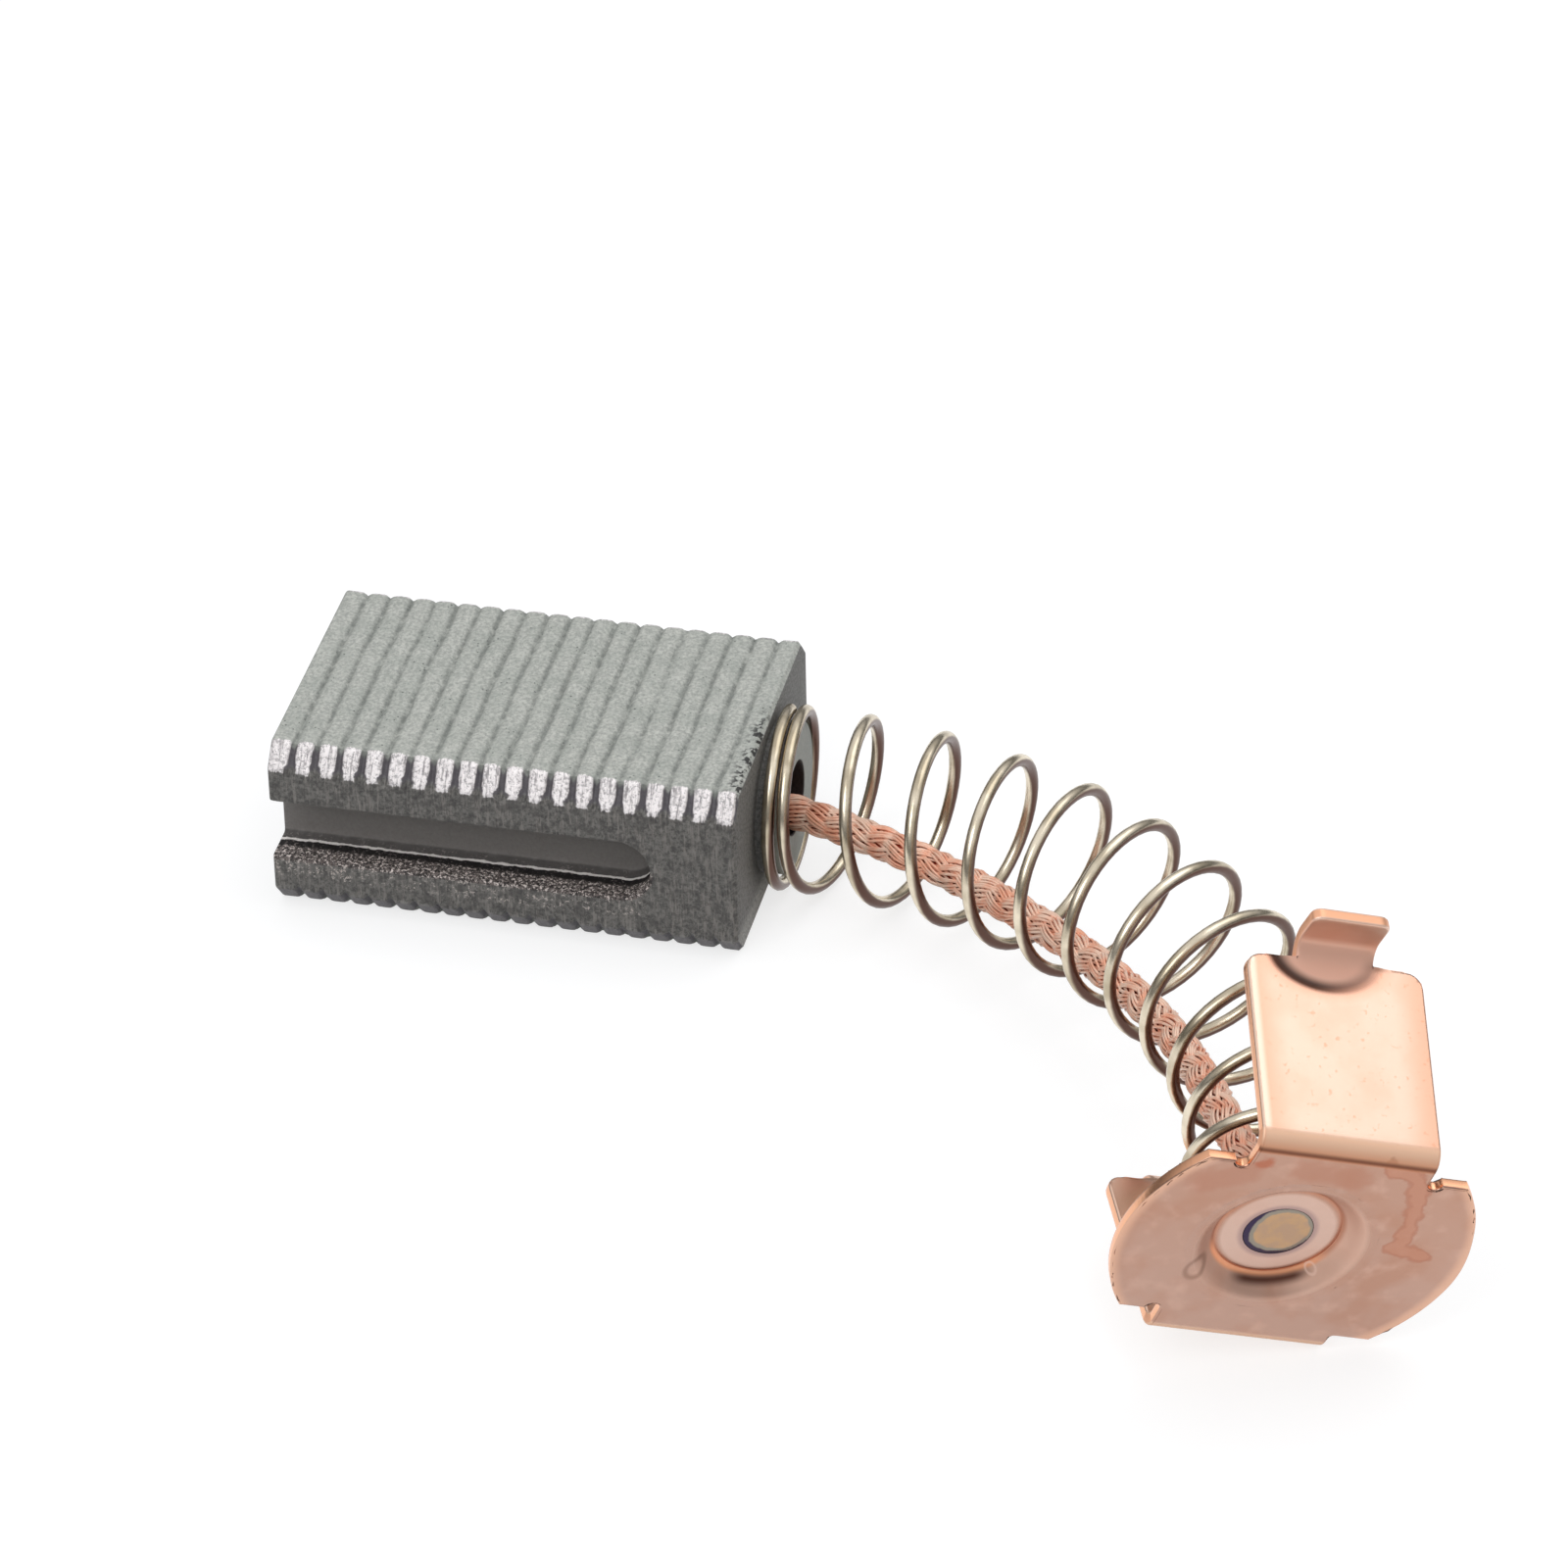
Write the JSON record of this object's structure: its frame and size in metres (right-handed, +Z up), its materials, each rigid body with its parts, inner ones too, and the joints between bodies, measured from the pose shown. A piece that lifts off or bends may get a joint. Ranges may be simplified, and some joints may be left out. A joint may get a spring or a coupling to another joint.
{
  "type": "carbon brush",
  "caption": "Carbon motor brush: ribbed block with side guide slots, copper braid, pressure spring and folded copper end cap.",
  "frame": {"origin": "centre of the contact face, which runs on the commutator", "axes": "+X from the contact face to the rear face along the block, +Z up from the broad side that the brush lies on, +Y away from the side that the cap is bent to"},
  "size_m": [0.0323, 0.0231, 0.0108],
  "materials": {
    "carbon": "pressed, ribbed, grainy with a dull metallic sheen",
    "tamped_copper": "tamped powder, dull",
    "copper_braid": "bare fine copper wires",
    "spring_steel": "drawn wire, bronze tinted",
    "copper_sheet": "stamped sheet, satin, lightly stained",
    "braze": "flat weld with heat tint round it"
  },
  "bodies": {
    "root": {"carbon_block": "carbon", "contact_plug": "tamped_copper", "pigtail": "copper_braid", "pressure_spring": "spring_steel", "terminal_cap": "copper_sheet", "weld_nugget": "braze"}
  },
  "joints": []
}
